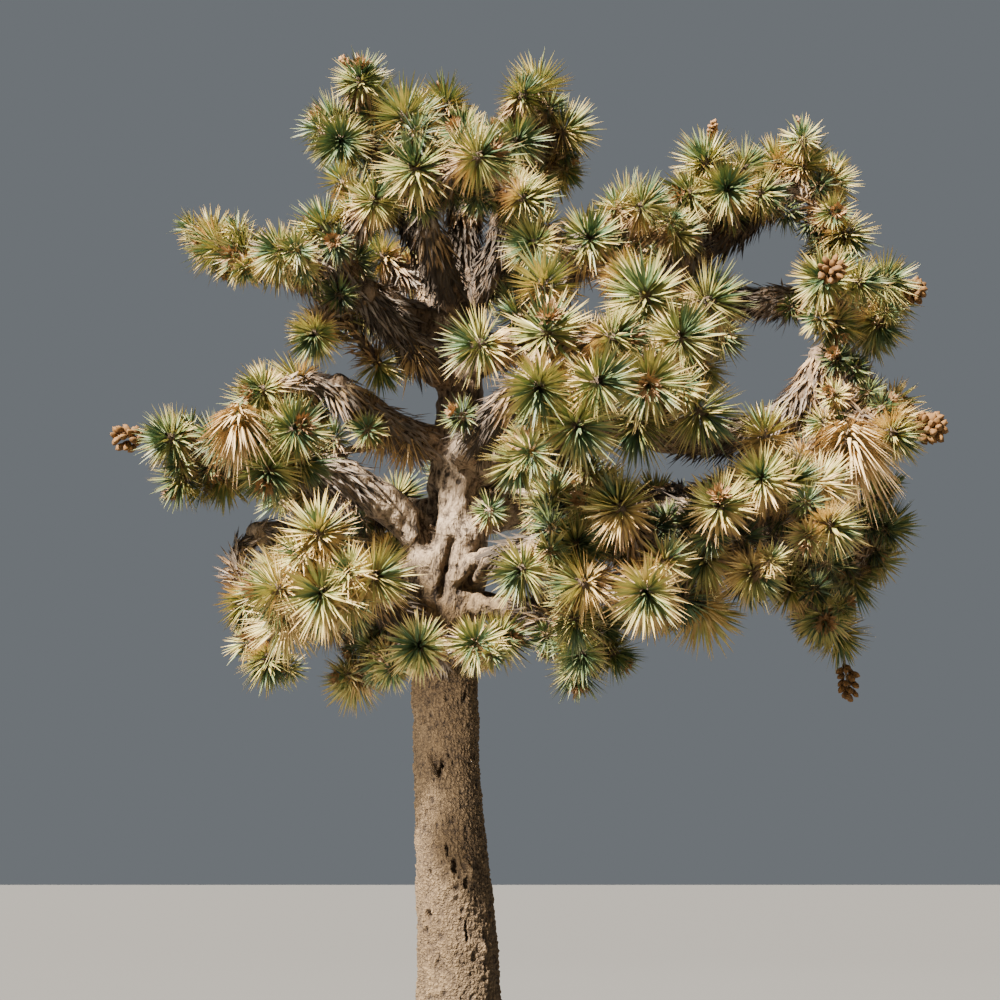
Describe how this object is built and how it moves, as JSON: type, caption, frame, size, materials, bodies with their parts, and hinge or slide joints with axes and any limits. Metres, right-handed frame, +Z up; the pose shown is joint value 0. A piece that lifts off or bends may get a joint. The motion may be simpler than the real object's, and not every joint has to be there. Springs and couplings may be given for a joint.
{
  "type": "joshua tree",
  "caption": "Branched desert tree with a bare flared trunk, forking boughs and round heads of stiff dagger-shaped leaves.",
  "frame": {"origin": "middle of the flat cut under the trunk, at ground level", "axes": "+Z up, +X to the right as seen from the front, -Y towards the front"},
  "size_m": [5.4829, 4.5522, 6.9558],
  "materials": {
    "bark": "rough",
    "foliage": "matte"
  },
  "bodies": {
    "root": {"bough_arch": "bark", "bough_back": "bark", "bough_back_far": "bark", "bough_back_high": "bark", "bough_back_left": "bark", "bough_back_right": "bark", "bough_bridge": "bark", "bough_far_top": "bark", "bough_front": "bark", "bough_front_right": "bark", "bough_inner_right": "bark", "bough_left": "bark", "bough_left_bare": "bark", "bough_left_high": "bark", "bough_left_low": "bark", "bough_left_mid": "bark", "bough_left_stub": "bark", "bough_left_upper": "bark", "bough_low_right": "bark", "bough_near_right": "bark", "bough_right": "bark", "bough_right_front": "bark", "bough_right_low": "bark", "bough_right_upper": "bark", "bough_riser": "bark", "bough_top_front": "bark", "bough_top_left": "bark", "bough_top_right": "bark", "foliage_back": "foliage", "foliage_back_far": "foliage", "foliage_back_high": "foliage", "foliage_back_left": "foliage", "foliage_back_right": "foliage", "foliage_far_left": "foliage", "foliage_far_right_top": "foliage", "foliage_front": "foliage", "foliage_front_middle": "foliage", "foliage_front_right": "foliage", "foliage_inner_right": "foliage", "foliage_left_hanging": "foliage", "foliage_left_low": "foliage", "foliage_left_mid": "foliage", "foliage_left_outer": "foliage", "foliage_left_upper": "foliage", "foliage_low_right": "foliage", "foliage_near_right": "foliage", "foliage_right_edge": "foliage", "foliage_right_far_low": "foliage", "foliage_right_front": "foliage", "foliage_right_hanging": "foliage", "foliage_right_outer": "foliage", "foliage_right_top": "foliage", "foliage_top_front": "foliage", "foliage_top_left": "foliage", "foliage_top_middle": "foliage", "foliage_top_right": "foliage", "foliage_trunk_front": "foliage", "foliage_trunk_left": "foliage", "leader": "bark", "trunk": "bark"}
  },
  "joints": []
}
